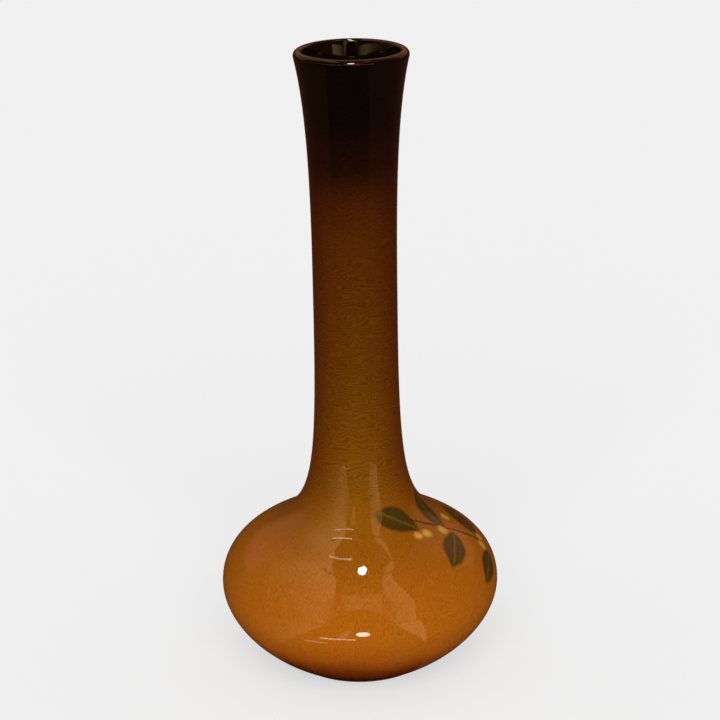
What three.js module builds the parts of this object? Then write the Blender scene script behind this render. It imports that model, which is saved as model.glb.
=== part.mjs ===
// A tall-necked bud vase: a squat round bulb whose shoulder sweeps up into a narrow neck, open at a rolled lip.
// Lengths are in millimetres and angles in degrees. +Z is up, the pot's axis is Z and its foot stands on z = 0.
// The pot is made as a potter makes it, in two thrown sections that are luted together face to face.
import * as THREE from "three";

// The outside line, from the foot up. Every other size below hangs on these.
const TOTAL_HEIGHT = 191.8;
const FOOT_RADIUS = 21.4;
const BELLY_RADIUS = 42.5;
const BELLY_HEIGHT = 26.2;
const SHOULDER_RADIUS = 30.0;
const SHOULDER_HEIGHT = 44.0;
const WAIST_RADIUS = 12.6;
const WAIST_HEIGHT = 110.2;
const LIP_RADIUS = 16.9;

// The slope of the outside line: its rise off the foot, its fall at the shoulder, and its lean outwards at the lip.
const FOOT_RISE = 27;
const SHOULDER_FALL = 28;
const LIP_LEAN = 13;

// How far the outside line holds each of its directions before it bends away, below and above each point.
const FOOT_REACH = 13.6;
const BELLY_REACH_BELOW = 9.3;
const BELLY_REACH_ABOVE = 9.4;
const SHOULDER_REACH_BELOW = 6.5;
const SHOULDER_REACH_ABOVE = 16.8;
const WAIST_REACH_BELOW = 55.8;
const WAIST_REACH_ABOVE = 29.4;
const LIP_REACH = 19.6;

// The lip is rolled over: it is rounded widely outside, and what is left of its wall makes the tighter inner round.
const LIP_OUTER_ROUND = 1.6;

// Walls and floor. The wall thins evenly from the bulb to the waist, and again to the lip.
const BULB_WALL = 3.8;
const NECK_WALL = 3.0;
const LIP_WALL = 2.7;
const FLOOR_WALL = 4.4;

// The turned foot: a flat ring around a shallow hollow, with its outer edge bevelled.
const FOOT_BEVEL = 0.7;
const RING_WIDTH = 2.9;
const HOLLOW_DEPTH = 1.6;

// The luted joint is a flat ring this far above the shoulder line.
const JOINT_RISE = 9;

const TURN_STEPS = 64;

const radians = THREE.MathUtils.degToRad;
const lerp = THREE.MathUtils.lerp;
const at = (r, z) => new THREE.Vector2(r, z);
const towards = (degrees) => at(Math.cos(radians(degrees)), Math.sin(radians(degrees)));

// One stretch of the outside line: it leaves `start` along `leaving` and comes to `end` along `arriving`.
function stretch(start, leaving, startReach, end, arriving, endReach) {
  const first = start.clone().addScaledVector(leaving, startReach);
  const last = end.clone().addScaledVector(arriving, -endReach);
  return new THREE.CubicBezierCurve(start, first, last, end);
}

const offFoot = towards(FOOT_RISE);
const upright = towards(90);
const acrossShoulder = at(-Math.cos(radians(SHOULDER_FALL)), Math.sin(radians(SHOULDER_FALL)));
const alongLip = towards(90 - LIP_LEAN);

// The two rounds of the lip touch the outside line and the inside line, and share one crest.
const leanSine = Math.sin(radians(LIP_LEAN));
const lipInnerRound = (LIP_WALL - LIP_OUTER_ROUND * (1 + leanSine)) / (1 - leanSine);
const crestRadius = LIP_RADIUS - LIP_OUTER_ROUND;
const outerLipCentre = at(crestRadius, TOTAL_HEIGHT - LIP_OUTER_ROUND);
const innerLipCentre = at(crestRadius, TOTAL_HEIGHT - lipInnerRound);

const footEdge = at(FOOT_RADIUS, FOOT_BEVEL);
const belly = at(BELLY_RADIUS, BELLY_HEIGHT);
const shoulder = at(SHOULDER_RADIUS, SHOULDER_HEIGHT);
const waist = at(WAIST_RADIUS, WAIST_HEIGHT);
const lipEdge = outerLipCentre.clone().addScaledVector(towards(-LIP_LEAN), LIP_OUTER_ROUND);

const underside = stretch(footEdge, offFoot, FOOT_REACH, belly, upright, BELLY_REACH_BELOW);
const overside = stretch(belly, upright, BELLY_REACH_ABOVE, shoulder, acrossShoulder, SHOULDER_REACH_BELOW);
const sweep = stretch(shoulder, acrossShoulder, SHOULDER_REACH_ABOVE, waist, upright, WAIST_REACH_BELOW);
const flare = stretch(waist, upright, WAIST_REACH_ABOVE, lipEdge, alongLip, LIP_REACH);

// The wall's thickness where the outside line is at a height.
function wallAt(height) {
  if (height <= SHOULDER_HEIGHT) return BULB_WALL;
  if (height <= WAIST_HEIGHT) {
    const share = (height - SHOULDER_HEIGHT) / (WAIST_HEIGHT - SHOULDER_HEIGHT);
    return lerp(BULB_WALL, NECK_WALL, share);
  }
  const share = (height - WAIST_HEIGHT) / (lipEdge.y - WAIST_HEIGHT);
  return lerp(NECK_WALL, LIP_WALL, Math.min(share, 1));
}

// Both kinds of point are asked for by a curve and a share of it, from 0 at its lower end to 1 at its upper end.
const outerPoint = (curve, share) => curve.getPoint(share);

// The matching point of the inside: square to the outside line, one wall away.
function innerPoint(curve, share) {
  const point = curve.getPoint(share);
  const along = curve.getTangent(share);
  return point.addScaledVector(at(-along.y, along.x), wallAt(point.y));
}

// Where a rising line passes a height, by halving.
function shareAtHeight(pointOn, curve, height) {
  let low = 0;
  let high = 1;
  for (let pass = 0; pass < 40; pass += 1) {
    const middle = (low + high) / 2;
    if (pointOn(curve, middle).y < height) low = middle;
    else high = middle;
  }
  return (low + high) / 2;
}

// Points on a curve from one share of it to another, both ends included.
function trace(pointOn, curve, from, to, steps) {
  return Array.from({ length: steps + 1 }, (_, i) => pointOn(curve, lerp(from, to, i / steps)));
}

// Lines that follow one another share their meeting point, which is kept once.
function joined(...lines) {
  const points = lines.flat();
  return points.filter((p, i) => i === 0 || p.distanceTo(points[i - 1]) > 1e-4);
}

const jointHeight = SHOULDER_HEIGHT + JOINT_RISE;
const floorHeight = HOLLOW_DEPTH + FLOOR_WALL;
const jointOuter = shareAtHeight(outerPoint, sweep, jointHeight);
const jointInner = shareAtHeight(innerPoint, sweep, jointHeight);
const floorEdge = shareAtHeight(innerPoint, underside, floorHeight);

const ringOuter = FOOT_RADIUS - FOOT_BEVEL;
const ringInner = ringOuter - RING_WIDTH;

const bulbProfile = joined(
  [at(0, HOLLOW_DEPTH)],
  [at(ringInner - HOLLOW_DEPTH, HOLLOW_DEPTH)],
  [at(ringInner, 0)],
  [at(ringOuter, 0)],
  trace(outerPoint, underside, 0, 1, 11),
  trace(outerPoint, overside, 0, 1, 10),
  trace(outerPoint, sweep, 0, jointOuter, 5),
  trace(innerPoint, sweep, jointInner, 0, 4),
  trace(innerPoint, overside, 1, 0, 8),
  trace(innerPoint, underside, 1, floorEdge, 8),
  [at(0, floorHeight)],
);

// Points on one round of the lip, from one direction to another.
function lipArc(centre, round, from, to, steps) {
  const angles = Array.from({ length: steps + 1 }, (_, i) => lerp(from, to, i / steps));
  return angles.map((angle) => centre.clone().addScaledVector(towards(angle), round));
}

const LIP_CREST = 90;

const neckProfile = joined(
  trace(outerPoint, sweep, jointOuter, 1, 14),
  trace(outerPoint, flare, 0, 1, 7),
  lipArc(outerLipCentre, LIP_OUTER_ROUND, -LIP_LEAN, LIP_CREST, 5),
  lipArc(innerLipCentre, lipInnerRound, LIP_CREST, 2 * LIP_CREST - LIP_LEAN, 4),
  trace(innerPoint, flare, 1, 0, 6),
  trace(innerPoint, sweep, 1, jointInner, 12),
  [outerPoint(sweep, jointOuter)],
);

function thrown(name, profile, glaze) {
  const geometry = new THREE.LatheGeometry(profile, TURN_STEPS);
  geometry.rotateX(Math.PI / 2);
  const mesh = new THREE.Mesh(geometry, glaze);
  mesh.name = name;
  return mesh;
}

const amberGlaze = new THREE.MeshStandardMaterial({ color: 0xa0590e, roughness: 0.12, metalness: 0 });
const darkGlaze = new THREE.MeshStandardMaterial({ color: 0x331503, roughness: 0.12, metalness: 0 });

const vase = new THREE.Group();
vase.name = "bud_vase";
vase.add(thrown("thrown_bulb", bulbProfile, amberGlaze));
vase.add(thrown("thrown_neck", neckProfile, darkGlaze));

export default vase;
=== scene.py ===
# %% [markdown]
# # A bud vase in brown and amber gloss
# The real thing is one thrown and fired pot: a squat bulb, a tall narrow neck and a rolled lip.
# It was sprayed with coloured slips, painted with a sprig, and dipped in a clear lead gloss.
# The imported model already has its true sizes, so it is loaded first and everything here is fitted to it.

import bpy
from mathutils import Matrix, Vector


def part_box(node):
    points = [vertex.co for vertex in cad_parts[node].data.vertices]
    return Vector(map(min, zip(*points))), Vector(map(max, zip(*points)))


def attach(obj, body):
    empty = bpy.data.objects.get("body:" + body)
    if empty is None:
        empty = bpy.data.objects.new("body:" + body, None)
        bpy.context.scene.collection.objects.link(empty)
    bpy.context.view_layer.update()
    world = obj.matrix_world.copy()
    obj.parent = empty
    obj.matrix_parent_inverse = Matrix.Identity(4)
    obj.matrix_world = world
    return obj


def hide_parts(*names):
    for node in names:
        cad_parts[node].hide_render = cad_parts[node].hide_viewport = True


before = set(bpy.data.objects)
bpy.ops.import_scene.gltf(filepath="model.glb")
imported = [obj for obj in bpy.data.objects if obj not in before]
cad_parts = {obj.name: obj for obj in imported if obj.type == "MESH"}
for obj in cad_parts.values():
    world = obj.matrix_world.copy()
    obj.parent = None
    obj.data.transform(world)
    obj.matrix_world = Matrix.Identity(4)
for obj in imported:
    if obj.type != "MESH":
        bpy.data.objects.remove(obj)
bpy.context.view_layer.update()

# %% [markdown]
# ## Helpers
# Pottery is measured in millimetres and Blender works in metres, so one factor turns the one into the other.
# Colours are written as sRGB hex, as on a colour card, and one function turns them to the linear values that
# nodes use. One more function adds a node, sets it up and links it, which keeps each finish readable from top
# to bottom. A Mix node knows its inputs by number, so the numbers that are used here get names.

# %% Units, colours and nodes
from math import cos, pi, radians, sin

import bmesh
import bpy
from mathutils import Matrix, Vector, noise
from mathutils.geometry import interpolate_bezier

MM = 0.001
SHARE, UNDER_VALUE, OVER_VALUE, UNDER, OVER = 0, 2, 3, 6, 7


def from_hex(code):
    """An sRGB hex colour as linear red, green, blue and alpha."""
    channels = [int(code[i:i + 2], 16) / 255 for i in (1, 3, 5)]
    return (*[c / 12.92 if c <= 0.04045 else ((c + 0.055) / 1.055) ** 2.4 for c in channels], 1.0)


def add_node(tree, kind, inputs=None, **settings):
    """Adds a node. An input is given a value, another node's output, or a node, for its first output in use."""
    node = tree.nodes.new(kind)
    for name, value in settings.items():
        setattr(node, name, value)
    for name, value in (inputs or {}).items():
        if isinstance(value, bpy.types.Node):
            value = next(output for output in value.outputs if output.enabled)
        if isinstance(value, bpy.types.NodeSocket):
            tree.links.new(value, node.inputs[name])
        else:
            node.inputs[name].default_value = value
    return node


print("amber #a95d13 is", [round(c, 3) for c in from_hex("#a95d13")], "in linear light")

# %% [markdown]
# ## The outside line
# A thrown pot is a line turned about an axis, so its whole form is in that line.
# It could be drawn by hand, but four Bezier stretches that share their directions give the same unbroken sweep
# that a potter's rib leaves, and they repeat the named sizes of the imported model.

# %% The named sizes, in millimetres and degrees
TOTAL_HEIGHT = 191.8
FOOT_RADIUS, FOOT_BEVEL, FOOT_RISE, FOOT_REACH = 21.4, 0.7, 27, 13.6
BELLY_RADIUS, BELLY_HEIGHT, BELLY_REACH_BELOW, BELLY_REACH_ABOVE = 42.5, 26.2, 9.3, 9.4
SHOULDER_RADIUS, SHOULDER_HEIGHT, SHOULDER_FALL = 30.0, 44.0, 28
SHOULDER_REACH_BELOW, SHOULDER_REACH_ABOVE = 6.5, 16.8
WAIST_RADIUS, WAIST_HEIGHT, WAIST_REACH_BELOW, WAIST_REACH_ABOVE = 12.6, 110.2, 55.8, 29.4
LIP_RADIUS, LIP_LEAN, LIP_REACH, LIP_OUTER_ROUND = 16.9, 13, 19.6, 1.6
BULB_WALL, NECK_WALL, LIP_WALL, FLOOR_WALL = 3.8, 3.0, 2.7, 4.4
RING_WIDTH, HOLLOW_DEPTH = 2.9, 1.6


def heading(degrees):
    """A step of length 1 in the plane of the profile, measured up from straight outwards."""
    return Vector((cos(radians(degrees)), 0, sin(radians(degrees))))


def place(radius, height):
    """A point of the profile."""
    return Vector((radius, 0, height))


def stretch(start, leaving, start_reach, end, arriving, end_reach, points):
    """One stretch of the line: it leaves start along one direction and comes to end along another."""
    return interpolate_bezier(start, start + leaving * start_reach, end - arriving * end_reach, end, points)


lean = sin(radians(LIP_LEAN))
lip_inner_round = (LIP_WALL - LIP_OUTER_ROUND * (1 + lean)) / (1 - lean)
crest_radius = LIP_RADIUS - LIP_OUTER_ROUND
outer_lip_centre = place(crest_radius, TOTAL_HEIGHT - LIP_OUTER_ROUND)
inner_lip_centre = place(crest_radius, TOTAL_HEIGHT - lip_inner_round)
foot_edge = place(FOOT_RADIUS, FOOT_BEVEL)
belly = place(BELLY_RADIUS, BELLY_HEIGHT)
shoulder = place(SHOULDER_RADIUS, SHOULDER_HEIGHT)
waist = place(WAIST_RADIUS, WAIST_HEIGHT)
lip_edge = outer_lip_centre + heading(-LIP_LEAN) * LIP_OUTER_ROUND
upright, across_shoulder = heading(90), heading(180 - SHOULDER_FALL)

# The last number of each stretch is its number of points.
underside =stretch(foot_edge, heading(FOOT_RISE), FOOT_REACH, belly, upright, BELLY_REACH_BELOW, 36)
overside = stretch(belly, upright, BELLY_REACH_ABOVE, shoulder, across_shoulder, SHOULDER_REACH_BELOW, 28)
sweep = stretch(shoulder, across_shoulder, SHOULDER_REACH_ABOVE, waist, upright, WAIST_REACH_BELOW, 72)
flare = stretch(waist, upright, WAIST_REACH_ABOVE, lip_edge, heading(90 - LIP_LEAN), LIP_REACH, 60)
outer_line = underside + overside[1:] + sweep[1:] + flare[1:]
print("the outside line has", len(outer_line), "points")
print("the lip is rounded by", LIP_OUTER_ROUND, "mm outside and", round(lip_inner_round, 2), "mm inside")

# %% [markdown]
# ## The wall, the lip and the foot
# The wall is thrown thinner as it rises, so the inside line lies one wall away, square to the outside line.
# The lip is rolled over: a wide round outside, a tighter one inside, and one crest between them.
# The foot is turned: a flat ring round a shallow hollow.
# A Solidify modifier could make the wall, but can't thin it evenly or roll the lip, so the line carries both.

# %% The closed profile
LIP_POINTS = 9
FINGER_RING_DEPTH, FINGER_RING_PITCH = 0.05, 4.2
BELOW_LIP, FINGER_RING_FADE = 4, 8
FLAT_RINGS, FLOOR_INSET = (0, 4, 8, 12, 17), 0.6


def wall_at(height):
    """The wall's thickness where the outside line is at a height."""
    if height <= SHOULDER_HEIGHT:
        return BULB_WALL
    if height <= WAIST_HEIGHT:
        share = (height - SHOULDER_HEIGHT) / (WAIST_HEIGHT - SHOULDER_HEIGHT)
        return BULB_WALL + (NECK_WALL - BULB_WALL) * share
    share = min(1, (height - WAIST_HEIGHT) / (lip_edge.z - WAIST_HEIGHT))
    return NECK_WALL + (LIP_WALL - NECK_WALL) * share


def inside_of(line):
    """The matching inside line. The thrower's fingers leave soft rings on it, which fade out below the lip."""
    inside = []
    for before, point, after in zip(line[:1] + line, line, line[1:] + line[-1:]):
        along = (after - before).normalized()
        fade = min(1, max(0, (TOTAL_HEIGHT - BELOW_LIP - point.z) / FINGER_RING_FADE))
        ring = sin(2 * pi * point.z / FINGER_RING_PITCH) * FINGER_RING_DEPTH * fade
        inside.append(point + Vector((-along.z, 0, along.x)) * (wall_at(point.z) + ring))
    return inside


def arc(centre, radius, first, last):
    """Points on a round, from just after one direction to another."""
    turns = [first + (last - first) * i / LIP_POINTS for i in range(1, LIP_POINTS + 1)]
    return [centre + heading(turn) * radius for turn in turns]


lip_arc = arc(outer_lip_centre, LIP_OUTER_ROUND, -LIP_LEAN, 90)
lip_arc += arc(inner_lip_centre, lip_inner_round, 90, 180 - LIP_LEAN)
floor_height = HOLLOW_DEPTH + FLOOR_WALL
inner_line = [point for point in inside_of(outer_line) if point.z > floor_height]
ring_outer = FOOT_RADIUS - FOOT_BEVEL
ring_inner = ring_outer - RING_WIDTH
under_foot = [place(r, HOLLOW_DEPTH) for r in (*FLAT_RINGS[:-1], ring_inner - HOLLOW_DEPTH)]
under_foot += [place(ring_inner, 0), place(ring_outer, 0)]
inner_floor = [place(r, floor_height) for r in (inner_line[0].x - FLOOR_INSET, *FLAT_RINGS[::-1])]
profile = under_foot + outer_line + lip_arc + inner_line[::-1] + inner_floor
print("the closed profile has", len(profile), "points")

# %% [markdown]
# ## Turning the line
# Spinning the profile is the nearest thing in Blender to throwing. A full turn needs its ends merged, and the
# points on the axis too, so that no seam is left and both poles are closed. Each point also remembers how far
# along the wall it lies, because the gloss later cracks along the wall and not along a box.

# %% Spin the profile into a pot
TURN_STEPS, MERGE_WITHIN = 168, 1e-7

pot = bmesh.new()
run_layer = pot.verts.layers.float.new("wall_run")
line = [pot.verts.new(point * MM) for point in profile]
run = 0
for before, after in zip(line, line[1:]):
    pot.edges.new((before, after))
    run += (after.co - before.co).length
    after[run_layer] = run
crest_run = max(line, key=lambda vert: vert.co.z)[run_layer] / MM
bmesh.ops.spin(
    pot, geom=pot.verts[:] + pot.edges[:], cent=(0, 0, 0), axis=(0, 0, 1), dvec=(0, 0, 0),
    angle=2 * pi, steps=TURN_STEPS, use_merge=True, use_duplicate=False,
)
bmesh.ops.remove_doubles(pot, verts=pot.verts[:], dist=MERGE_WITHIN)
bmesh.ops.recalc_face_normals(pot, faces=pot.faces[:])
print("the turned pot has", len(pot.faces), "faces; open edges:", sum(not e.is_manifold for e in pot.edges))
print("the wall runs", round(crest_run, 1), "mm from the axis under the foot to the crest of the lip")

# %% [markdown]
# ## Softened corners
# Gloss never sits on a knife edge, and a potter wipes each corner of the foot with a wet finger.
# The corners are whole rings of edges, so each is found by its radius and height, and bevelled by an operator.

# %% Round the corners of the foot: the radius, height and width of each, in millimetres
FIND_WITHIN = 0.02 * MM
BEVEL_SEGMENTS, ROUND_BEVEL = 3, 0.5


def round_corner(mesh, radius, height, width):
    """Bevels the ring of edges at a radius and height, all in millimetres."""
    def lies_there(vert):
        away = abs(vert.co.xy.length - radius * MM), abs(vert.co.z - height * MM)
        return max(away) < FIND_WITHIN

    ring = [edge for edge in mesh.edges if all(lies_there(vert) for vert in edge.verts)]
    bmesh.ops.bevel(
        mesh, geom=ring, offset=width * MM, segments=BEVEL_SEGMENTS, profile=ROUND_BEVEL, affect="EDGES",
        material=-1,
    )
    return len(ring)


corners = [(ring_outer, 0, 0.22), (FOOT_RADIUS, FOOT_BEVEL, 0.25), (ring_inner, 0, 0.3)]
corners += [(ring_inner - HOLLOW_DEPTH, HOLLOW_DEPTH, 0.6)]
for corner in corners:
    print("rounded", round_corner(pot, *corner), "edges at radius", round(corner[0], 1))

# %% [markdown]
# ## The thrower's hand
# A thrown wall is never a perfect turned surface: it swells and dips by about a hundredth of a millimetre.
# That is too little to see in the outline, but it bends each reflection, which is what makes gloss look real.
# Moving every point along its own normal by smooth noise does this in the mesh itself.

# %% Move the wall by a little smooth noise
SWELL_DEPTH, SWELL_SIZE, SWELL_FLATNESS = 0.01, 13.0, 1.6
STANDING_HEIGHT, STANDING_FADE = 1.2, 4

pot.normal_update()
moves = []
for vert in pot.verts:
    rise = min(1, max(0, (vert.co.z / MM - STANDING_HEIGHT) / STANDING_FADE))
    where = Vector((vert.co.x, vert.co.y, vert.co.z * SWELL_FLATNESS)) / (SWELL_SIZE * MM)
    moves.append((vert, vert.normal * noise.noise(where) * SWELL_DEPTH * MM * rise))
for vert, move in moves:
    vert.co += move
print("largest move in millimetres:", round(max(move.length for _, move in moves) / MM, 3))

# %% [markdown]
# ## Two thrown sections
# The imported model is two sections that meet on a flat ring, as a potter would join them, so the finished look
# keeps two pieces. The pot is cut by a plane at that height and each cut is closed with a flat ring of faces.
# Cutting one whole pot, instead of making two, leaves the faces on both sides of the cut in one plane,
# so the light runs over it without a line. Only the hidden seat keeps sharp edges.

# %% Cut the pot at the joint and make the two pieces
SHARP_ANGLE = radians(40)
CUT_WITHIN, ON_AXIS = 1e-8, 1e-9

joint_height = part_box("thrown_neck")[0].z


def section(name, above):
    """The part of the pot above or below the joint, as an object with its place in its mesh."""
    part = pot.copy()
    cut = bmesh.ops.bisect_plane(
        part, geom=part.verts[:] + part.edges[:] + part.faces[:], dist=CUT_WITHIN,
        plane_co=(0, 0, joint_height), plane_no=(0, 0, 1), clear_inner=above, clear_outer=not above,
    )
    rims = [item for item in cut["geom_cut"] if isinstance(item, bmesh.types.BMEdge)]
    seat = bmesh.ops.bridge_loops(part, edges=rims)["faces"]
    bmesh.ops.recalc_face_normals(part, faces=part.faces[:])
    for face in part.faces:
        face.smooth = True
    for edge in part.edges:
        edge.smooth = edge.calc_face_angle(0) < SHARP_ANGLE
    for face in seat:
        face.smooth = False
        for edge in face.edges:
            edge.smooth = False
    runs = part.verts.layers.float["wall_run"]
    lie = part.verts.layers.float_vector.new("wall_lie")
    for vert in part.verts:
        outwards = vert.co.xy.normalized() if vert.co.xy.length > ON_AXIS else Vector((0, 0))
        around = outwards * BELLY_RADIUS * MM
        vert[lie] = (around.x, around.y, vert[runs])
    open_edges = sum(not edge.is_manifold for edge in part.edges)
    mesh = bpy.data.meshes.new(name)
    part.to_mesh(mesh)
    part.free()
    piece = bpy.data.objects.new(name, mesh)
    bpy.context.scene.collection.objects.link(piece)
    print(name, "has", len(mesh.polygons), "faces,", len(seat), "of them in its seat; open edges:", open_edges)
    return piece


glazed_bulb = section("glazed_bulb", above=False)
glazed_neck = section("glazed_neck", above=True)
pot.free()

for piece, node, slot in (
    (glazed_bulb, "thrown_bulb", "amber_glaze"),
    (glazed_neck, "thrown_neck", "dark_glaze"),
):
    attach(piece, "root")
    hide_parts(node)

# %% [markdown]
# ## The sprayed ground
# Under the gloss lie coloured slips that were sprayed on with a blower: umber at the foot, amber on the belly,
# olive up the neck, and then almost black. The umber at the foot is partly painted shade under the belly.
# A blower can't leave a hard edge, so a colour ramp by height, with its height moved a little by noise, gives
# the same drift. The flanks are painted darker and redder than the front: painted shade where the sides turn
# away from the light.

# %% The ground's colour
SPRAY_STOPS = {
    # The darkest stops at the foot are partly painted shade: they stand for the shade under the belly, which
    # the pale floor would otherwise light.
    3: "#5c220a",
    10: "#85390c",
    16: "#ac5911",
    23: "#b26210",
    33: "#ad5e0f",
    43: "#a65c0d",
    49: "#96570b",
    62: "#7e4c08",
    80: "#714107",
    100: "#643706",
    139: "#522705",
    150: "#431b05",
    159: "#220c04",
    173: "#0d0603",
}
# Painted shade on the flanks: its tint, its share on the bulb, and the heights where it grows to full up the
# neck.
PAINTED_FLANK_SHADE, FLANK_SHADE_ON_BULB, FLANK_SHADE_CHANGE = "#dca28a", 0.05, (42.0, 66.0)
DRIFT_SIZE, DRIFT_HEIGHT = 26.0, 7.0


def ground_colour(tree, place_mm, height):
    """The sprayed slips, with painted shade on the flanks and at the foot: a colour for each point of the pot,
    given its place in millimetres.
    """
    drift = add_node(tree, "ShaderNodeTexNoise", {"Vector": place_mm, "Scale": 1 / DRIFT_SIZE, "Detail": 2.0})
    shift = add_node(tree, "ShaderNodeMath", {0: drift, 1: DRIFT_HEIGHT, 2: -DRIFT_HEIGHT / 2},
                     operation="MULTIPLY_ADD")
    drifted = add_node(tree, "ShaderNodeMath", {0: height, 1: shift}, operation="ADD")
    share = add_node(tree, "ShaderNodeMath", {0: drifted, 1: TOTAL_HEIGHT}, operation="DIVIDE")
    ramp = add_node(tree, "ShaderNodeValToRGB", {"Fac": share})
    stops = ramp.color_ramp.elements
    while len(stops) < len(SPRAY_STOPS):
        stops.new(0.5)
    for stop, (stop_height, code) in zip(stops, SPRAY_STOPS.items()):
        stop.position = stop_height / TOTAL_HEIGHT
        stop.color = from_hex(code)
    # Painted shade: the flanks to the east and west are darkened and reddened by a tint, fully up the neck and
    # faintly on the bulb.
    level = add_node(tree, "ShaderNodeVectorMath", {0: place_mm, 1: (1, 1, 0)}, operation="MULTIPLY")
    outwards = add_node(tree, "ShaderNodeVectorMath", {0: level}, operation="NORMALIZE")
    sideways = add_node(tree, "ShaderNodeSeparateXYZ", {"Vector": outwards}).outputs["X"]
    flank_shade = add_node(tree, "ShaderNodeMath", {0: sideways, 1: sideways}, operation="MULTIPLY")
    up_the_neck = add_node(tree, "ShaderNodeMapRange",
                           {"Value": height, "From Min": FLANK_SHADE_CHANGE[0], "From Max": FLANK_SHADE_CHANGE[1],
                            "To Min": FLANK_SHADE_ON_BULB})
    flank_shade = add_node(tree, "ShaderNodeMath", {0: flank_shade, 1: up_the_neck}, operation="MULTIPLY")
    return add_node(tree, "ShaderNodeMix", {SHARE: flank_shade, UNDER: ramp, OVER: from_hex(PAINTED_FLANK_SHADE)},
                    data_type="RGBA", blend_type="MULTIPLY")


print("the ground has", len(SPRAY_STOPS), "slips from the foot to the lip")

# %% [markdown]
# ## The painted sprig
# On the right of the shoulder a decorator painted a small sprig in thick coloured slip, under the gloss.
# Here it is a plain one of oval leaves and round berries on a thin stem. It could be a picture laid on the pot,
# but a few brush strokes made of nodes stay sharp at any size. All of them share one shape: a stroke that is
# widest in its middle and runs out to a point, or to a round end for a berry.

# %% The sprig's plane and its brush strokes: where each is, how it is turned, and half its length and width
SPRIG_TURN, SPRIG_TILT = 76, 42
SPRIG_PLACE, SPRIG_DEPTH = (33.0, -8.2, 42.0), 20.0
STEMS = [
    ((10, -14), 112, 9.5, 0.6),
    ((2.5, 1), 124, 9.0, 0.55),
    ((-5.5, 12.0), 130, 8.0, 0.5),
]
LEAVES = [
    ((17.0, -9.0), 22, 8.6, 4.2),
    ((-1.0, -10.5), 200, 8.0, 3.9),
    ((12.0, 4.0), 50, 9.2, 4.5),
    ((-9.0, 1.5), 200, 8.8, 4.3),
    ((0.5, 14.5), 74, 8.6, 4.3),
    ((-12.5, 19.5), 112, 7.8, 4.0),
]
BERRIES = [
    ((4.6, -5.4), 2.1), ((8.0, -3.4), 1.8), ((-3.6, 7.4), 2.1), ((-9.6, 10.4), 2.0), ((-12.6, 12.0), 1.7),
    ((5.4, 8.4), 1.9), ((8.2, -18.6), 1.9),
]


def brush_stroke(tree, plane, middle, turn, half_length, half_width, pointed):
    """How far inside a stroke a point is, from 1 in its middle to 0 at its edge, and how far off its line."""
    local = add_node(tree, "ShaderNodeMapping",
                     {"Vector": plane, "Location": (*middle, 0), "Rotation": (0, 0, radians(turn)),
                      "Scale": (half_length, half_width, 1)}, vector_type="TEXTURE")
    axes = add_node(tree, "ShaderNodeSeparateXYZ", {"Vector": local})
    along = add_node(tree, "ShaderNodeMath", {0: axes.outputs["X"], 1: 2.0}, operation="POWER")
    across = add_node(tree, "ShaderNodeMath", {0: axes.outputs["Y"]}, operation="ABSOLUTE")
    spread = add_node(tree, "ShaderNodeMath", {0: across, 1: 1.0 if pointed else 2.0}, operation="POWER")
    both = add_node(tree, "ShaderNodeMath", {0: along, 1: spread}, operation="ADD")
    inside = add_node(tree, "ShaderNodeMath", {0: 1.0, 1: both}, operation="SUBTRACT")
    return inside, across


print("the sprig has", len(LEAVES), "leaves and", len(BERRIES), "berries on", len(STEMS), "strokes of stem")

# %% The sprig's slips, laid over the ground one stroke after another
LEAF_DARK, LEAF_OLIVE, LEAF_RIB = "#331b08", "#4f3d0e", "#69531a"
BERRY, BERRY_LIGHT = "#b9791f", "#d6a145"
SLIP_COVER, SLIP_EDGE = 0.93, 0.25
HAND_SIZE, HAND_SHAKE = 2.2, 1.1
BRISTLE_SIZE = 1.6
RIB_EDGES, RIB_COVER = (0.14, 0.02), 0.7
BERRY_LIGHT_EDGES = (0.3, 0.95)


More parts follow.
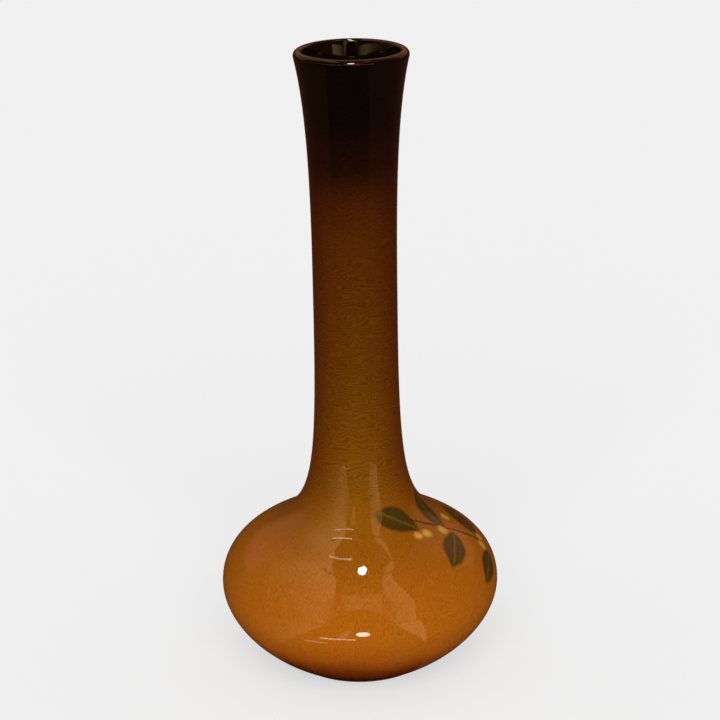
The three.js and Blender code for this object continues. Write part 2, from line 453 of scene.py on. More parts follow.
def sprig_colour(tree, place_mm, ground):
    """The ground's colour with the sprig painted over it, by a hand that wavers a little."""
    plane =add_node(tree, "ShaderNodeMapping",
                     {"Vector": place_mm, "Location": SPRIG_PLACE,
                      "Rotation": (radians(90 - SPRIG_TILT), 0, radians(SPRIG_TURN))}, vector_type="TEXTURE")
    depth = add_node(tree, "ShaderNodeSeparateXYZ", {"Vector": plane}).outputs["Z"]
    near = add_node(tree, "ShaderNodeMapRange",
                    {"Value": depth, "From Min": -SPRIG_DEPTH - 2, "From Max": -SPRIG_DEPTH})
    waver = add_node(tree, "ShaderNodeTexNoise", {"Vector": place_mm, "Scale": 1 / HAND_SIZE, "Detail": 2.0})
    centred = add_node(tree, "ShaderNodeVectorMath", {0: waver.outputs["Color"], 1: (0.5, 0.5, 0.5)},
                       operation="SUBTRACT")
    moved = add_node(tree, "ShaderNodeVectorMath", {0: centred, "Scale": HAND_SHAKE}, operation="SCALE")
    hand = add_node(tree, "ShaderNodeVectorMath", {0: plane, 1: moved}, operation="ADD")
    bristles = add_node(tree, "ShaderNodeTexNoise",
                        {"Vector": place_mm, "Scale": 1 / BRISTLE_SIZE, "Detail": 3.0})
    leaf_slip = add_node(tree, "ShaderNodeMix",
                         {SHARE: bristles, UNDER: from_hex(LEAF_DARK), OVER: from_hex(LEAF_OLIVE)},
                         data_type="RGBA")
    colour = ground
    for strokes, kind in ((STEMS, "stem"), (LEAVES, "leaf"), (BERRIES, "berry")):
        for stroke in strokes:
            if kind == "berry":
                middle, radius = stroke
                inside, across = brush_stroke(tree, hand, middle, 0, radius, radius, pointed=False)
            else:
                inside, across = brush_stroke(tree, hand, *stroke, pointed=True)
            edge = add_node(tree, "ShaderNodeMapRange",
                            {"Value": inside, "From Max": SLIP_EDGE, "To Max": SLIP_COVER})
            mask = add_node(tree, "ShaderNodeMath", {0: edge, 1: near}, operation="MULTIPLY")
            slip = leaf_slip
            if kind == "berry":
                light = add_node(tree, "ShaderNodeMapRange",
                                 {"Value": inside, "From Min": BERRY_LIGHT_EDGES[0],
                                  "From Max": BERRY_LIGHT_EDGES[1]})
                slip = add_node(tree, "ShaderNodeMix",
                                {SHARE: light, UNDER: from_hex(BERRY), OVER: from_hex(BERRY_LIGHT)},
                                data_type="RGBA")
            elif kind == "leaf":
                rib = add_node(tree, "ShaderNodeMapRange",
                               {"Value": across, "From Min": RIB_EDGES[0], "From Max": RIB_EDGES[1],
                                "To Max": RIB_COVER})
                slip = add_node(tree, "ShaderNodeMix", {SHARE: rib, UNDER: leaf_slip, OVER: from_hex(LEAF_RIB)},
                                data_type="RGBA")
            colour = add_node(tree, "ShaderNodeMix", {SHARE: mask, UNDER: colour, OVER: slip}, data_type="RGBA")
    return colour


print("each stroke covers", SLIP_COVER, "of the ground under it")

# %% [markdown]
# ## The craze and the relief of the gloss
# Lead gloss shrinks more than the clay as it cools, so it cracks into fine wandering lines. A Voronoi pattern
# would give even cells, but the contour lines of a noise wander as these do. On the bulb they fan out from the
# neck, so the noise is stretched up the wall. On the neck they run mostly round the pot, so there the distance
# along the wall is added to a flat noise. Real cracks are about 0.03 mm wide; they are drawn wider, or the
# render couldn't show them.

# %% The craze net and the relief, in millimetres
CRACK_PITCH, CRACK_HALF, CRACK_DEPTH = 1.15, 0.46, 0.0006
BULB_CELL, BULB_WANDER = (2.4, 2.4, 6.0), 13.0
NECK_CELL, NECK_WANDER = (14.0, 14.0, 3.0), 7.0
CRAZE_CHANGE = (46.0, 62.0)
RIDGE_SIZE, RIDGE_DEPTH = (16.0, 16.0, 1.8), 0.002
RIPPLE_SIZE, RIPPLE_DEPTH = 3.0, 0.001


def craze_net(tree, lie_mm, run, height):
    """1 in a crack and 0 on sound gloss. On the neck the cracks run round, on the bulb they only wander."""
    nets = []
    for cell, wander, from_run in ((BULB_CELL, BULB_WANDER, 0.0), (NECK_CELL, NECK_WANDER, run)):
        stretched = add_node(tree, "ShaderNodeVectorMath", {0: lie_mm, 1: tuple(1 / size for size in cell)},
                             operation="MULTIPLY")
        hills = add_node(tree, "ShaderNodeTexNoise", {"Vector": stretched, "Scale": 1.0, "Detail": 1.5})
        level = add_node(tree, "ShaderNodeMath", {0: hills, 1: wander, 2: from_run}, operation="MULTIPLY_ADD")
        waves = add_node(tree, "ShaderNodeMath", {0: level, 1: CRACK_PITCH / 2}, operation="PINGPONG")
        nets.append(add_node(tree, "ShaderNodeMapRange",
                             {"Value": waves, "From Min": CRACK_HALF, "From Max": 0.0}))
    up_the_neck = add_node(tree, "ShaderNodeMapRange",
                           {"Value": height, "From Min": CRAZE_CHANGE[0], "From Max": CRAZE_CHANGE[1]})
    return add_node(tree, "ShaderNodeMix", {SHARE: up_the_neck, UNDER_VALUE: nets[0], OVER_VALUE: nets[1]},
                    data_type="FLOAT")


def wall_relief(tree, place_mm, lie_mm, net):
    """How high the gloss stands: thrown ridges, soft ripples and sunken cracks."""
    along = add_node(tree, "ShaderNodeVectorMath", {0: lie_mm, 1: tuple(1 / size for size in RIDGE_SIZE)},
                     operation="MULTIPLY")
    ridges = add_node(tree, "ShaderNodeTexNoise", {"Vector": along, "Scale": 1.0, "Detail": 1.0})
    ripple = add_node(tree, "ShaderNodeTexNoise", {"Vector": place_mm, "Scale": 1 / RIPPLE_SIZE, "Detail": 1.0})
    sunk = add_node(tree, "ShaderNodeMath", {0: net, 1: -CRACK_DEPTH}, operation="MULTIPLY")
    rippled = add_node(tree, "ShaderNodeMath", {0: ripple, 1: RIPPLE_DEPTH, 2: sunk}, operation="MULTIPLY_ADD")
    return add_node(tree, "ShaderNodeMath", {0: ridges, 1: RIDGE_DEPTH, 2: rippled}, operation="MULTIPLY_ADD")


print("cracks lie", CRACK_PITCH, "mm apart, up to", 2 * CRACK_HALF, "mm wide where they fade out")

# %% [markdown]
# ## Glazed earthenware
# A clear lead gloss over sprayed slip gives the eye a deep warm colour under a wet shine. One Principled
# surface carries both: the slips give its base colour, and the gloss its smooth shine, with lead glass's IOR.
# A coat of its own would darken the slips, whose colours were chosen as they look through the gloss.
# The inside is dark, the crest of the lip is thin and brown, and the ring that the pot stands on is bare clay.

# %% Lead gloss over slip, on both pieces
GLAZE_IOR, GLAZE_ROUGHNESS, BARE_ROUGHNESS = 1.55, 0.04, 0.75
CRACK_SHADE, BULB_CRACKS, NECK_CRACKS = "#6e5038", 0.25, 0.34
INSIDE_BROWN, INSIDE_FADE = "#0f0603", (-0.5, 2.5)
LIP_BROWN, LIP_FADE = "#24120b", (-0.8, -0.1)
BARE_CLAY, BARE_HEIGHTS = "#a8764c", (0.55, 0.3)


def glazed_earthenware(name):
    """Slips and gloss from the lip to the foot. Each layer covers the ones before it where its share is 1."""
    material =bpy.data.materials.new(name)
    material.use_nodes = True
    tree = material.node_tree
    tree.nodes.clear()
    coordinates = add_node(tree, "ShaderNodeTexCoord")
    place_mm = add_node(tree, "ShaderNodeVectorMath", {0: coordinates.outputs["Object"], "Scale": 1 / MM},
                        operation="SCALE")
    lie = add_node(tree, "ShaderNodeAttribute", attribute_name="wall_lie")
    lie_mm = add_node(tree, "ShaderNodeVectorMath", {0: lie.outputs["Vector"], "Scale": 1 / MM},
                      operation="SCALE")
    height = add_node(tree, "ShaderNodeSeparateXYZ", {"Vector": place_mm}).outputs["Z"]
    run = add_node(tree, "ShaderNodeSeparateXYZ", {"Vector": lie_mm}).outputs["Z"]

    colour = sprig_colour(tree, place_mm, ground_colour(tree, place_mm, height))
    for value, crest, (first, last), brown in ((run, crest_run, INSIDE_FADE, INSIDE_BROWN),
                                               (height, TOTAL_HEIGHT, LIP_FADE, LIP_BROWN)):
        share = add_node(tree, "ShaderNodeMapRange",
                         {"Value": value, "From Min": crest + first, "From Max": crest + last})
        colour = add_node(tree, "ShaderNodeMix", {SHARE: share, UNDER: colour, OVER: from_hex(brown)},
                          data_type="RGBA")
    net = craze_net(tree, lie_mm, run, height)
    strength = add_node(tree, "ShaderNodeMapRange",
                        {"Value": height, "From Min": BELLY_HEIGHT, "From Max": CRAZE_CHANGE[1],
                         "To Min": BULB_CRACKS, "To Max": NECK_CRACKS})
    crack_share = add_node(tree, "ShaderNodeMath", {0: net, 1: strength}, operation="MULTIPLY")
    crazed = add_node(tree, "ShaderNodeMix", {SHARE: crack_share, UNDER: colour, OVER: from_hex(CRACK_SHADE)},
                      data_type="RGBA", blend_type="MULTIPLY")
    bare = add_node(tree, "ShaderNodeMapRange",
                    {"Value": height, "From Min": BARE_HEIGHTS[0], "From Max": BARE_HEIGHTS[1]})
    clay = add_node(tree, "ShaderNodeMix", {SHARE: bare, UNDER: crazed, OVER: from_hex(BARE_CLAY)},
                    data_type="RGBA")
    shine = add_node(tree, "ShaderNodeMapRange",
                     {"Value": bare, "To Min": GLAZE_ROUGHNESS, "To Max": BARE_ROUGHNESS})
    relief = wall_relief(tree, place_mm, lie_mm, net)
    bump = add_node(tree, "ShaderNodeBump", {"Height": relief, "Strength": 1.0, "Distance": MM})
    surface = add_node(tree, "ShaderNodeBsdfPrincipled",
                       {"Base Color": clay, "Roughness": shine, "IOR": GLAZE_IOR, "Normal": bump})
    add_node(tree, "ShaderNodeOutputMaterial", {"Surface": surface})
    return material


for piece, name in ((glazed_bulb, "amber_lead_gloss_over_slip"), (glazed_neck, "dark_lead_gloss_over_slip")):
    piece.data.materials.append(glazed_earthenware(name))
    print(piece.name, "is finished in", name)

# %% [markdown]
# ## The camera
# The vase is seen from a little above, so that the mouth shows as a thin oval. The long lens keeps the neck
# from leaning away, and the camera was held a touch askew, so the pot leans to the left.

# %% Camera
CAMERA_PLACE = (0.00110, -0.680, 0.3333)
CAMERA_PITCH, CAMERA_ROLL = 19.158, -0.95
SENSOR_WIDTH, LENS = 36.0, 119.75

camera_data = bpy.data.cameras.new("camera")
camera_data.sensor_width, camera_data.lens = SENSOR_WIDTH, LENS
camera = bpy.data.objects.new("camera", camera_data)
camera.matrix_world = (
    Matrix.Translation(CAMERA_PLACE)
    @ Matrix.Rotation(radians(90 - CAMERA_PITCH), 4, "X")
    @ Matrix.Rotation(radians(CAMERA_ROLL), 4, "Z")
)
bpy.context.scene.collection.objects.link(camera)
bpy.context.scene.camera = camera
print("the camera stands", -CAMERA_PLACE[1], "m in front and looks down by", CAMERA_PITCH, "degrees")

# %% [markdown]
# ## The floor
# A wide sheet of pale paper. Part of its paleness is given to the camera only, which thins the shadow
# as a second soft light would, and still keeps it.

# %% Floor
FLOOR_SIZE, FLOOR_PAPER, FLOOR_GLOW = 6.0, "#fbfbfb", "#fcfcfc"
SHADOW_LIFT = 0.6


def stage_object(name, mesh_maker, **sizes):
    """A mesh that isn't part of the vase, made by one bmesh operator or a function of the same kind."""
    shape = bmesh.new()
    mesh_maker(shape, **sizes)
    mesh = bpy.data.meshes.new(name)
    shape.to_mesh(mesh)
    shape.free()
    made = bpy.data.objects.new(name, mesh)
    bpy.context.scene.collection.objects.link(made)
    return made


def stage_material(made):
    """An empty material on a stage object, to be filled with nodes."""
    material = bpy.data.materials.new(made.name)
    # A lamp that is found only by reflections is hidden altogether by a flag before it.
    material.cycles.emission_sampling = "NONE"
    material.use_nodes = True
    material.node_tree.nodes.clear()
    made.data.materials.append(material)
    return material.node_tree


floor = stage_object("pale_floor", bmesh.ops.create_grid, x_segments=1, y_segments=1, size=FLOOR_SIZE)
floor.visible_glossy = False
tree = stage_material(floor)
path = add_node(tree, "ShaderNodeLightPath")
lift = add_node(tree, "ShaderNodeMath", {0: path.outputs["Is Camera Ray"], 1: SHADOW_LIFT},
                operation="MULTIPLY")
paper = add_node(tree, "ShaderNodeBsdfDiffuse", {"Color": from_hex(FLOOR_PAPER)})
glow = add_node(tree, "ShaderNodeEmission", {"Color": from_hex(FLOOR_GLOW), "Strength": 1.0})
both = add_node(tree, "ShaderNodeMixShader", {0: lift, 1: paper, 2: glow})
add_node(tree, "ShaderNodeOutputMaterial", {"Surface": both})
print("the floor is", 2 * FLOOR_SIZE, "m wide, and", SHADOW_LIFT, "of it glows for the camera")

# %% [markdown]
# ## The soft light
# One very large soft lamp stands in front and above, and the whole room fills in evenly.
# Together they are set so that a colour on the front of the pot shows about as it is written.

# %% World and key light
WHITE, PALE = "#ffffff", "#efefef"
AMBIENT = 0.4
KEY_ENERGY, KEY_SOFTNESS, KEY_TILT = 2.1, 50, 58

world = bpy.data.worlds.new("studio")
bpy.context.scene.world = world
world.use_nodes = True
tree = world.node_tree
tree.nodes.clear()
path = add_node(tree, "ShaderNodeLightPath")
seen = path.outputs["Is Camera Ray"]
for kind in ("Is Glossy Ray", "Is Transmission Ray"):
    seen = add_node(tree, "ShaderNodeMath", {0: seen, 1: path.outputs[kind]}, operation="MAXIMUM")
soft_fill = add_node(tree, "ShaderNodeBackground", {"Color": from_hex(WHITE), "Strength": AMBIENT})
backdrop = add_node(tree, "ShaderNodeBackground", {"Color": from_hex(PALE), "Strength": 1.0})
both = add_node(tree, "ShaderNodeMixShader", {0: seen, 1: soft_fill, 2: backdrop})
add_node(tree, "ShaderNodeOutputWorld", {"Surface": both})

key_data = bpy.data.lights.new("soft_key", "SUN")
key_data.energy, key_data.angle = KEY_ENERGY, radians(KEY_SOFTNESS)
key = bpy.data.objects.new("soft_key", key_data)
key.rotation_euler = (radians(KEY_TILT), 0, 0)
key.visible_glossy = False
bpy.context.scene.collection.objects.link(key)
print("the key light is tilted by", KEY_TILT, "degrees and is", KEY_SOFTNESS, "degrees wide")

# %% [markdown]
# ## What the gloss shows
# A glossy pot is a mirror, so a photographer arranges what it reflects apart from what lights it. Black cloth
# hangs in front and brown cloth at the sides, which keeps the neck deep brown. Openings in the cloth show as
# soft warm panels on the bulb. It could all be built from cards, but one great ball round the pot, whose light
# is told by direction, keeps every edge in one place. It is seen in reflections only.
# A direction is three numbers, east, north and up, each from -1 to 1, and the camera stands in the south.

# %% Light that is seen in reflections only, and the closed cloth
CLOTH_BLACK, CLOTH_BROWN = "#0a0504", "#50301f"
DARK_FRONT, DARK_FRONT_HALF, DARK_FRONT_SOFT = -9, 52, 0.03


def shown_only_in_gloss(made):
    """Leaves an object to be seen by reflections and by nothing else."""
    made.visible_camera = made.visible_diffuse = made.visible_shadow = False
    made.visible_transmission = made.visible_volume_scatter = False


def softly_within(tree, light, *limits):
    """A light, dimmed by each limit: a value, where it makes all dark, and where it leaves all bright."""
    for value, dark, bright in limits:
        share = add_node(tree, "ShaderNodeMapRange", {"Value": value, "From Min": dark, "From Max": bright},
                         interpolation_type="SMOOTHSTEP")
        light = add_node(tree, "ShaderNodeMath", {0: light, 1: share}, operation="MULTIPLY")
    return light


def closed_cloth(tree, way):
    """The cloth's own colour in a direction: black in front and brown at the sides."""
    heart = (sin(radians(DARK_FRONT)), -cos(radians(DARK_FRONT)), 0)
    facing = add_node(tree, "ShaderNodeVectorMath", {0: way, 1: heart}, operation="DOT_PRODUCT")
    edge = cos(radians(DARK_FRONT_HALF))
    black = softly_within(tree, 1.0, (facing, edge - DARK_FRONT_SOFT, edge + DARK_FRONT_SOFT))
    return add_node(tree, "ShaderNodeMix",
                    {SHARE: black, UNDER: from_hex(CLOTH_BROWN), OVER: from_hex(CLOTH_BLACK)}, data_type="RGBA")


print("the cloth is black for", 2 * DARK_FRONT_HALF, "degrees round the front")

# %% The side openings: of two values in brackets, the light is gone at the first and whole at the second
GAP_MIDDLE, GAP_HALF_LOW, GAP_HALF_OVERHEAD, GAP_NARROWS = -0.01, 0.39, 0.207, 0.505
SOFT_LOW, SOFT_LOW_UP, SOFT_OVERHEAD, SOFT_OVERHEAD_UP, SOFT_INWARDS = 0.24, 0.5, 0.012, 0.75, -0.8
BACK_FROM, GAP_BACK_SHIFT, EDGE_BACK_SHIFT = 0.08, -0.25, -0.35
LEFT_EAST, LEFT_NORTH = (-1.05, -0.2), (0.55, 0.1)
RIGHT_EDGE, RIGHT_EDGE_SLANT, RIGHT_EDGE_BEND = 0.7, -0.47, 3.0
RIGHT_SOFT, RIGHT_NORTH = (0.0, 0.012), (0.27, 0.2)
LINE_WIDTH, LINE_LIGHT, BESIDE_LINE_LIGHT = 0.03, 1.15, 0.75


def side_openings(tree, east, north, up):
    """Two soft panels of light beside a gap. Also gives how far aside of the gap's middle a direction is."""
    behind = add_node(tree, "ShaderNodeMapRange",
                      {"Value": north, "From Min": BACK_FROM, "From Max": 1.0, "To Max": 1.0 - BACK_FROM})
    shifted = add_node(tree, "ShaderNodeMath", {0: behind, 1: GAP_BACK_SHIFT, 2: east},
                       operation="MULTIPLY_ADD")
    off_middle = add_node(tree, "ShaderNodeMath", {0: shifted, 1: GAP_MIDDLE}, operation="SUBTRACT")
    aside = add_node(tree, "ShaderNodeMath", {0: off_middle}, operation="ABSOLUTE")
    # The gap is narrow overhead and wider lower down, where its edges are also softer.
    gap_half = add_node(tree, "ShaderNodeMapRange",
                        {"Value": up, "From Min": GAP_NARROWS, "From Max": 1.0,
                         "To Min": GAP_HALF_LOW, "To Max": GAP_HALF_OVERHEAD})
    past_gap = add_node(tree, "ShaderNodeMath", {0: aside, 1: gap_half}, operation="SUBTRACT")
    soft = add_node(tree, "ShaderNodeMapRange",
                    {"Value": up, "From Min": SOFT_LOW_UP, "From Max": SOFT_OVERHEAD_UP,
                     "To Min": SOFT_LOW, "To Max": SOFT_OVERHEAD})
    inwards = add_node(tree, "ShaderNodeMath", {0: soft, 1: SOFT_INWARDS}, operation="MULTIPLY")
    # The left opening fades outwards. The right one ends at a slanted edge with a bright line along it.
    left = softly_within(tree, 1.0, (east, *LEFT_EAST), (north, *LEFT_NORTH))
    bend = add_node(tree, "ShaderNodeMath", {0: up, 1: RIGHT_EDGE_BEND}, operation="POWER")
    edge = add_node(tree, "ShaderNodeMath", {0: bend, 1: RIGHT_EDGE_SLANT, 2: RIGHT_EDGE},
                    operation="MULTIPLY_ADD")
    edge = add_node(tree, "ShaderNodeMath", {0: behind, 1: EDGE_BACK_SHIFT, 2: edge},
                    operation="MULTIPLY_ADD")
    within_edge = add_node(tree, "ShaderNodeMath", {0: edge, 1: east}, operation="SUBTRACT")
    line = add_node(tree, "ShaderNodeMapRange",
                    {"Value": within_edge, "From Min": LINE_WIDTH, "From Max": LINE_WIDTH / 2,
                     "To Min": BESIDE_LINE_LIGHT, "To Max": LINE_LIGHT}, interpolation_type="SMOOTHSTEP")
    right = softly_within(tree, line, (within_edge, *RIGHT_SOFT), (north, *RIGHT_NORTH))
    is_right = add_node(tree, "ShaderNodeMath", {0: off_middle, 1: 0.0}, operation="GREATER_THAN")
    lit = add_node(tree, "ShaderNodeMix", {SHARE: is_right, UNDER_VALUE: left, OVER_VALUE: right},
                   data_type="FLOAT")
    return softly_within(tree, lit, (past_gap, inwards, soft)), aside


print("the gap is", 2 * GAP_HALF_LOW, "wide low down and", 2 * GAP_HALF_OVERHEAD, "overhead")

# %% The window in the gap, and the dark arch under both
WINDOW_MIDDLE, WINDOW_EDGES, WINDOW_LIGHT = 0.03, (0.26, 0.22), 0.55
WINDOW_UP, WINDOW_NORTH = (0.82, 0.77), (0.0, -0.3)
ARCH_RISE, ARCH_EDGE, ARCH_NORTH = 0.41, (0.19, 0.205), (-0.2, 0.0)
UNEVEN_SCALE, UNEVEN_DEPTH = 14.0, 0.03


def opening_light(tree, way):
    """How far the cloth is open in a direction: 0 where it is closed and 1 in a side opening."""
    axes = add_node(tree, "ShaderNodeSeparateXYZ", {"Vector": way})
    east, north, up = (axes.outputs[name] for name in "XYZ")
    sides, aside = side_openings(tree, east, north, up)
    # A fainter window stands in the gap, low in front.
    off_window = add_node(tree, "ShaderNodeMath", {0: east, 1: WINDOW_MIDDLE}, operation="SUBTRACT")
    off_window = add_node(tree, "ShaderNodeMath", {0: off_window}, operation="ABSOLUTE")
    window = softly_within(tree, WINDOW_LIGHT, (off_window, *WINDOW_EDGES), (up, *WINDOW_UP),
                           (north, *WINDOW_NORTH))
    lit = add_node(tree, "ShaderNodeMath", {0: sides, 1: window}, operation="MAXIMUM")
    # A dark arch rises over the horizon in front and cuts off both. Its edge is a little uneven.
    uneven = add_node(tree, "ShaderNodeTexNoise", {"Vector": way, "Scale": UNEVEN_SCALE, "Detail": 1.0})
    rise = add_node(tree, "ShaderNodeMath", {0: up, 1: ARCH_RISE}, operation="MULTIPLY")
    arch = add_node(tree, "ShaderNodeMath", {0: aside, 1: aside, 2: rise}, operation="MULTIPLY_ADD")
    arch = add_node(tree, "ShaderNodeMath", {0: uneven, 1: UNEVEN_DEPTH, 2: arch}, operation="MULTIPLY_ADD")
    over_arch = softly_within(tree, 1.0, (arch, *ARCH_EDGE))
    behind_arch = softly_within(tree, 1.0, (north, *ARCH_NORTH))
    clear = add_node(tree, "ShaderNodeMath", {0: over_arch, 1: behind_arch}, operation="MAXIMUM")
    return add_node(tree, "ShaderNodeMath", {0: lit, 1: clear}, operation="MULTIPLY")


print("the window gives", WINDOW_LIGHT, "of the light of a side opening")

# %% [markdown]
# ### The ball of cloth
# Behind the pot the far wall of the room glows dimly, and the lip shows it. The openings end a little below the
# horizon, where a table's edge would hide them from the neck.

# %% Cloth all round
CLOTH_RADIUS = 1.6
WARM_OPENING, OPENING_STRENGTH, OPENING_UP = "#ffcb89", 1.5, (-0.14, -0.08)
FAR_WALL, FAR_WALL_NORTH, FAR_WALL_FOOT, FAR_WALL_TOP = "#b8795c", (0.26, 0.5), (0.2, 0.4), (0.97, 0.86)

cloth = stage_object("dark_cloth", bmesh.ops.create_uvsphere, u_segments=48, v_segments=24, radius=CLOTH_RADIUS)
shown_only_in_gloss(cloth)
tree = stage_material(cloth)
coordinates = add_node(tree, "ShaderNodeTexCoord")
way = add_node(tree, "ShaderNodeVectorMath", {0: coordinates.outputs["Object"]}, operation="NORMALIZE")
axes = add_node(tree, "ShaderNodeSeparateXYZ", {"Vector": way})
north, up = axes.outputs["Y"], axes.outputs["Z"]
far_wall = softly_within(tree, 1.0, (north, *FAR_WALL_NORTH), (up, *FAR_WALL_FOOT), (up, *FAR_WALL_TOP))
closed = add_node(tree, "ShaderNodeMix",
                  {SHARE: far_wall, UNDER: closed_cloth(tree, way), OVER: from_hex(FAR_WALL)}, data_type="RGBA")
opened = softly_within(tree, opening_light(tree, way), (up, *OPENING_UP))
dark = add_node(tree, "ShaderNodeEmission", {"Color": closed, "Strength": 1.0})
warm = add_node(tree, "ShaderNodeEmission", {"Color": from_hex(WARM_OPENING), "Strength": OPENING_STRENGTH})
both = add_node(tree, "ShaderNodeMixShader", {0: opened, 1: dark, 2: warm})
add_node(tree, "ShaderNodeOutputMaterial", {"Surface": both})
print("the ball of cloth is", 2 * CLOTH_RADIUS, "m across")

# %% [markdown]
# ### The table
# Close round the foot the gloss shows a small warm table top. It is lit on both sides of the pot, and dark in a
# wedge in front of it, which carries on the dark arch.

# %% Table card, in millimetres
TABLE_RADIUS, TABLE_HEIGHT = 225.0, 0.4
SHADE_MIDDLE, SHADE_EDGES, SHADE_SPREAD = -3.5, (22.0, 25.5), -0.34
RIGHT_CORNER, RIGHT_CORNER_SOFT, FRONT_FADE = -7.0, (-1.5, 1.5), (10.0, 45.0)

table = stage_object("table_card", bmesh.ops.create_circle, cap_ends=True, segments=96,
                     radius=TABLE_RADIUS * MM)
table.location.z = TABLE_HEIGHT * MM
shown_only_in_gloss(table)
tree = stage_material(table)
coordinates = add_node(tree, "ShaderNodeTexCoord")
spot = add_node(tree, "ShaderNodeVectorMath", {0: coordinates.outputs["Object"], "Scale": 1 / MM},
                operation="SCALE")
way = add_node(tree, "ShaderNodeVectorMath", {0: spot}, operation="NORMALIZE")
east = add_node(tree, "ShaderNodeSeparateXYZ", {"Vector": way}).outputs["X"]
axes = add_node(tree, "ShaderNodeSeparateXYZ", {"Vector": spot})
across = axes.outputs["X"]
ahead = add_node(tree, "ShaderNodeMath", {0: axes.outputs["Y"], 1: -1.0}, operation="MULTIPLY")
off_shade = add_node(tree, "ShaderNodeMath", {0: across, 1: SHADE_MIDDLE}, operation="SUBTRACT")
off_shade = add_node(tree, "ShaderNodeMath", {0: off_shade}, operation="ABSOLUTE")
past_shade = add_node(tree, "ShaderNodeMath", {0: ahead, 1: SHADE_SPREAD, 2: off_shade},
                      operation="MULTIPLY_ADD")
to_edge = add_node(tree, "ShaderNodeMath", {0: ahead, 1: RIGHT_CORNER}, operation="ADD")
to_edge = add_node(tree, "ShaderNodeMath", {0: to_edge, 1: across}, operation="SUBTRACT")
lit = softly_within(tree, 1.0, (past_shade, *SHADE_EDGES), (to_edge, *RIGHT_CORNER_SOFT), (ahead, *FRONT_FADE),
                    (east, *LEFT_EAST))
dark = add_node(tree, "ShaderNodeEmission", {"Color": closed_cloth(tree, way), "Strength": 1.0})
warm = add_node(tree, "ShaderNodeEmission", {"Color": from_hex(WARM_OPENING), "Strength": OPENING_STRENGTH})
both = add_node(tree, "ShaderNodeMixShader", {0: lit, 1: dark, 2: warm})
add_node(tree, "ShaderNodeOutputMaterial", {"Surface": both})
print("the table card is", 2 * TABLE_RADIUS, "mm across")

# %% [markdown]
# ### The lamps and their flags
# Each bright point in the gloss is a lamp of its own: one far overhead for the shoulder, one low in front for
# the belly and one in front of the lip. Small black flags keep each lamp from showing where it shouldn't: the
# overhead lamp would show twice, in the round of the shoulder and in the hollow above it, and again on the lip.

# %% Lamps and flags: their places and sizes in millimetres, and each lamp's colour and strength
LAMPS = {
    "overhead_lamp": ((27, -20, 1250), (92, 250, 10), "#f6f8ff", 34.0),
    "overhead_halo": ((27, -110, 1300), (120, 270, 10), "#c4ccff", 0.45),
    "low_lamp": ((2.3, -99, 2), (15, 26, 1), "#fff4ea", 16.0),
    "low_halo": ((-17, -105, 1.5), (9, 66, 1), "#ffe2d6", 0.8),
    "lip_lamp": ((-1, -66, 258), (19, 0.2, 34), "#fff8ee", 26.0),
}
FLAGS = {
    "shoulder_flag": ((2.2, -23.2, 60), (8.6, 8.6, 0.2)),
    "under_lip_lamp": ((-1, -60, 199.6), (24, 18, 0.2)),
    "lip_flag": ((1, -16.4, 205), (7, 4.6, 0.2)),
}


def glow_in_gloss(made, colour, strength):
    """Gives an object an even light of its own, which only reflections see."""
    shown_only_in_gloss(made)
    tree = stage_material(made)
    light = add_node(tree, "ShaderNodeEmission", {"Color": from_hex(colour), "Strength": strength})
    add_node(tree, "ShaderNodeOutputMaterial", {"Surface": light})


for name, (where, size, colour, strength) in LAMPS.items():
    lamp = stage_object(name, bmesh.ops.create_uvsphere, u_segments=24, v_segments=12, radius=0.5)
    lamp.location = Vector(where) * MM
    lamp.scale = Vector(size) * MM
    glow_in_gloss(lamp, colour, strength)

for name, (where, size) in FLAGS.items():
    flag = stage_object(name, bmesh.ops.create_cube, size=1.0)
    flag.location = Vector(where) * MM
    flag.scale = Vector(size) * MM
    glow_in_gloss(flag, CLOTH_BLACK, 1.0)
print("lamps:", ", ".join(LAMPS), "and flags:", ", ".join(FLAGS))

# %% [markdown]
# ### Thin glints and dark bands
# Thrown rings catch the light as thin curved glints beside the bright points. They follow the rings, so each
# is the image of a thin bright strip turned about an axis near the pot's own. Wider turned strips of dark cloth
# stand in front of the lip and beside it, and keep the openings from showing there.

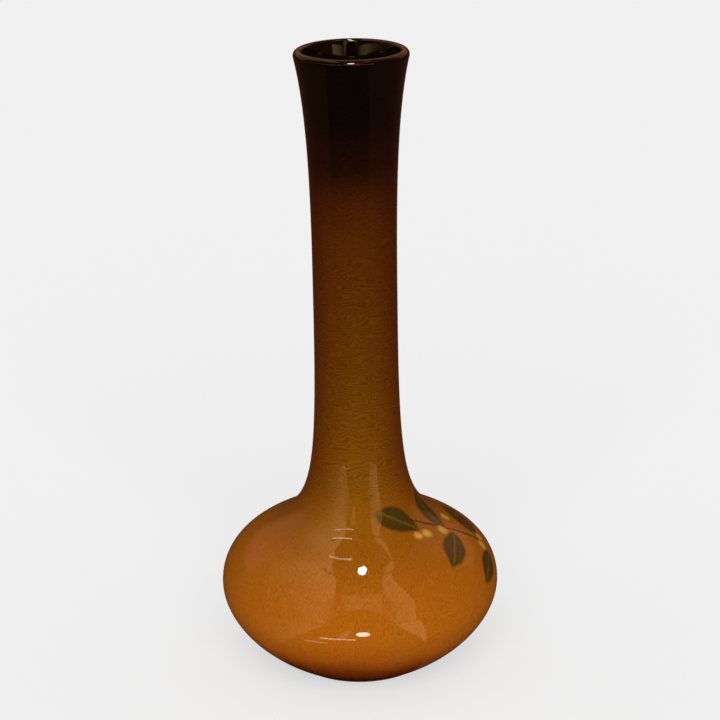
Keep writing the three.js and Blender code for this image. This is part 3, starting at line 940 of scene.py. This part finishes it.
# %% Turned strips: each goes from one radius and height to another, and round from one direction to another
STRIP_STEPS, GLINT_COLOUR = 48, "#fff0d8"
GLINTS = {
    "upper_glint": ((26.0, 62.0), (26.16, 62.0), (-29, -5), -1.0, 5.0),
    "middle_glint": ((25.05, 66.0), (25.25, 66.0), (-29, -4), -2.3, 8.0),
    "low_glint": ((70.8, 2.0), (75.2, 2.0), (-25, -3), 0, 5.0),
    "lowest_glint": ((59.5, 2.0), (62.5, 2.0), (-34, -20), 0, 1.6),
}
BANDS = {
    "below_the_mouth": ((60.0, 180.0), (60.0, 200.5), (-78, 78)),
    "left_of_the_lip": ((45.0, 204.0), (45.0, 275.0), (-95, -22)),
    "right_of_the_lip": ((45.0, 204.0), (45.0, 275.0), (22, 95)),
}


def turned_strip(shape, start, end, first, last, aside=0):
    """Spins one edge about an upright axis, from one direction to another, counted from the front."""
    outwards = Vector((sin(radians(first)), -cos(radians(first)), 0))
    ends = []
    for radius, height in (start, end):
        ends.append(shape.verts.new((Vector((aside, 0, height)) + outwards * radius) * MM))
    edge = shape.edges.new(ends)
    bmesh.ops.spin(shape, geom=[*ends, edge], cent=(aside * MM, 0, 0), axis=(0, 0, 1),
                   angle=radians(last - first), steps=STRIP_STEPS)


for name, (start, end, (first, last), aside, strength) in GLINTS.items():
    glint = stage_object(name, turned_strip, start=start, end=end, first=first, last=last, aside=aside)
    glow_in_gloss(glint, GLINT_COLOUR, strength)

for name, (start, end, (first, last)) in BANDS.items():
    band = stage_object(name, turned_strip, start=start, end=end, first=first, last=last)
    shown_only_in_gloss(band)
    tree = stage_material(band)
    coordinates = add_node(tree, "ShaderNodeTexCoord")
    level = add_node(tree, "ShaderNodeVectorMath", {0: coordinates.outputs["Object"], 1: (1, 1, 0)},
                     operation="MULTIPLY")
    way = add_node(tree, "ShaderNodeVectorMath", {0: level}, operation="NORMALIZE")
    dark = add_node(tree, "ShaderNodeEmission", {"Color": closed_cloth(tree, way), "Strength": 1.0})
    add_node(tree, "ShaderNodeOutputMaterial", {"Surface": dark})
print("glints:", ", ".join(GLINTS), "and bands:", ", ".join(BANDS))

# %% [markdown]
# ## Colours as written
# The Standard view transform shows a colour as it is written, which pottery colours need.

# %% View transform
bpy.context.scene.view_settings.view_transform = "Standard"
